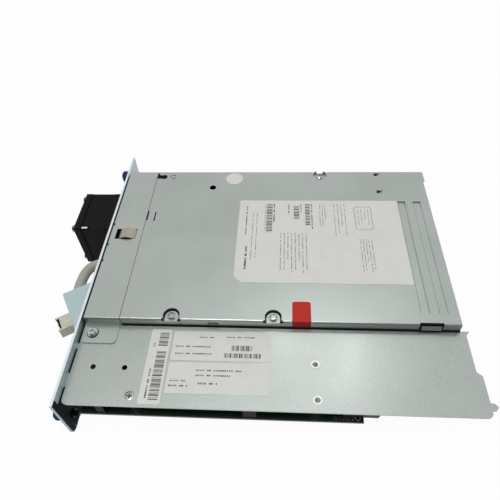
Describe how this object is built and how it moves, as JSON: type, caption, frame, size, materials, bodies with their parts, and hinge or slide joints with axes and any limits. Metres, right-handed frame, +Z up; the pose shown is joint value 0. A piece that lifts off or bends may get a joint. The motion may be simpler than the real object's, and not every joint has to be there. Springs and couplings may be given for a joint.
{
  "type": "data tape drive",
  "caption": "Half-height tape drive on a sheet-metal library sled, with a rear fan, captive thumbscrews and a side circuit board.",
  "frame": {"origin": "centre of the drive's flat bottom face", "axes": "+X towards the cartridge mouth, +Y towards the far side of the drive, away from the board side of the sled, +Z up"},
  "size_m": [0.2831, 0.2255, 0.0432],
  "materials": {
    "zinc_steel": "galvanised sheet, satin",
    "blue_zinc_steel": "blue passivated zinc sheet",
    "cast_alloy": "die-cast, matte",
    "spring_nickel": "nickel-plated spring strip",
    "screw_steel": "bright zinc-plated screw",
    "black_abs": "moulded, matte",
    "fan_black": "glass-filled moulding",
    "insulator_film": "black polyester film, satin",
    "knob_blue": "moulded, satin",
    "gear_acetal": "moulded acetal",
    "board_laminate": "solder mask",
    "chip_epoxy": "moulded epoxy",
    "port_metal": "plated cage",
    "cable_jacket": "extruded grey jacket",
    "grommet_rubber": "moulded rubber",
    "guard_wire": "plated wire",
    "motor_steel": "pressed steel can"
  },
  "bodies": {
    "sled": {"board_chips": "chip_epoxy", "board_clips": "zinc_steel", "board_screws": "screw_steel", "board_standoffs": "screw_steel", "bridge_cable": "cable_jacket", "cable_boot": "cable_jacket", "cable_grommet": "grommet_rubber", "cable_plug": "black_abs", "carrier_rails": "black_abs", "connector_bracket": "blue_zinc_steel", "cover_screws": "screw_steel", "dock_connector": "black_abs", "drive_chassis": "cast_alloy", "drive_connector": "black_abs", "fan_frame": "fan_black", "fan_guard": "guard_wire", "fan_screws": "screw_steel", "gear_pins": "screw_steel", "head_post": "motor_steel", "interface_board": "board_laminate", "loader_motor": "motor_steel", "main_board": "board_laminate", "mouth_frame": "black_abs", "panel_insulator": "insulator_film", "panel_screws": "screw_steel", "plate_screw": "screw_steel", "port_insert": "black_abs", "port_shell": "port_metal", "rear_cover": "zinc_steel", "rear_panel": "blue_zinc_steel", "rear_tray": "zinc_steel", "roller_pins": "screw_steel", "side_plate": "zinc_steel", "side_screws": "screw_steel", "spring_clip": "spring_nickel", "supply_stator": "motor_steel", "tab_screw": "screw_steel", "takeup_stator": "motor_steel", "thumbscrew_ferrules": "screw_steel", "top_cover": "zinc_steel"},
    "door": {"cartridge_door": "black_abs"},
    "carrier": {"cartridge_carrier": "zinc_steel"},
    "pinion": {"rack_pinion": "gear_acetal"},
    "idler": {"loader_idler": "gear_acetal"},
    "motor_gear": {"loader_motor_gear": "gear_acetal"},
    "takeup": {"takeup_reel": "gear_acetal"},
    "clutch": {"supply_clutch": "motor_steel"},
    "head": {"tape_head": "cast_alloy"},
    "rotor": {"fan_rotor": "fan_black"},
    "far_retainer": {"retainer_far": "screw_steel"},
    "far_thumbscrew": {"thumbscrew_far": "knob_blue"},
    "near_retainer": {"retainer_near": "screw_steel"},
    "near_thumbscrew": {"thumbscrew_near": "knob_blue"},
    "roller_1": {"guide_roller_1": "motor_steel"},
    "roller_2": {"guide_roller_2": "motor_steel"},
    "roller_3": {"guide_roller_3": "motor_steel"},
    "roller_4": {"guide_roller_4": "motor_steel"}
  },
  "joints": [
    {"name": "door_swing", "type": "hinge", "parent": "sled", "child": "door", "pos_m": [0.0995, 0, 0.0349], "axis": [0, 1, 0], "range_deg": [0, 85], "stiffness_Nm_per_rad": 0.002, "springref_deg": -14.32},
    {"name": "carrier_slide", "type": "slide", "parent": "sled", "child": "carrier", "axis": [1, 0, 0], "range_m": [0, 0.014]},
    {"name": "pinion_turn", "type": "hinge", "parent": "sled", "child": "pinion", "pos_m": [0.04, 0.06125, 0.013], "axis": [0, 0, 1], "range_deg": [0, 133.7]},
    {"name": "idler_turn", "type": "hinge", "parent": "sled", "child": "idler", "pos_m": [0.028, 0.06125, 0.013], "axis": [0, 0, 1], "range_deg": [-133.7, 0]},
    {"name": "motor_gear_turn", "type": "hinge", "parent": "sled", "child": "motor_gear", "pos_m": [0.017, 0.06125, 0.013], "axis": [0, 0, 1], "range_deg": [0, 160.5]},
    {"name": "takeup_turn", "type": "hinge", "parent": "sled", "child": "takeup", "pos_m": [-0.058, 0, 0.014], "axis": [0, 0, 1], "continuous": true},
    {"name": "clutch_turn", "type": "hinge", "parent": "sled", "child": "clutch", "pos_m": [0.044, 0, 0.0062], "axis": [0, 0, 1], "continuous": true},
    {"name": "head_step", "type": "slide", "parent": "sled", "child": "head", "axis": [0, 0, 1], "range_m": [-0.002, 0.002]},
    {"name": "fan_turn", "type": "hinge", "parent": "sled", "child": "rotor", "pos_m": [-0.13445, 0.0269, 0.0206], "axis": [1, 0, 0], "continuous": true},
    {"name": "roller_1_turn", "type": "hinge", "parent": "sled", "child": "roller_1", "pos_m": [-0.011, -0.05, 0.0134], "axis": [0, 0, 1], "continuous": true},
    {"name": "roller_2_turn", "type": "hinge", "parent": "sled", "child": "roller_2", "pos_m": [-0.0155, -0.063, 0.0134], "axis": [0, 0, 1], "continuous": true},
    {"name": "roller_3_turn", "type": "hinge", "parent": "sled", "child": "roller_3", "pos_m": [-0.0465, -0.0635, 0.0134], "axis": [0, 0, 1], "continuous": true},
    {"name": "roller_4_turn", "type": "hinge", "parent": "sled", "child": "roller_4", "pos_m": [-0.072, -0.062, 0.0134], "axis": [0, 0, 1], "continuous": true},
    {"name": "far_screw_travel", "type": "slide", "parent": "sled", "child": "far_retainer", "axis": [1, 0, 0], "range_m": [0, 0.0027], "stiffness_N_per_m": 120, "springref_m": -0.002},
    {"name": "far_screw_turn", "type": "hinge", "parent": "far_retainer", "child": "far_thumbscrew", "pos_m": [-0.13285, 0.0845, 0.0264], "axis": [1, 0, 0], "continuous": true},
    {"name": "near_screw_travel", "type": "slide", "parent": "sled", "child": "near_retainer", "axis": [1, 0, 0], "range_m": [0, 0.0027], "stiffness_N_per_m": 120, "springref_m": -0.002},
    {"name": "near_screw_turn", "type": "hinge", "parent": "near_retainer", "child": "near_thumbscrew", "pos_m": [-0.13285, -0.1233, 0.01], "axis": [1, 0, 0], "continuous": true}
  ],
  "couplings": [
    {"joint": "pinion_turn", "follows": "carrier_slide", "rad_per_m": 166.67},
    {"joint": "idler_turn", "follows": "carrier_slide", "rad_per_m": -166.67},
    {"joint": "motor_gear_turn", "follows": "carrier_slide", "rad_per_m": 200}
  ]
}
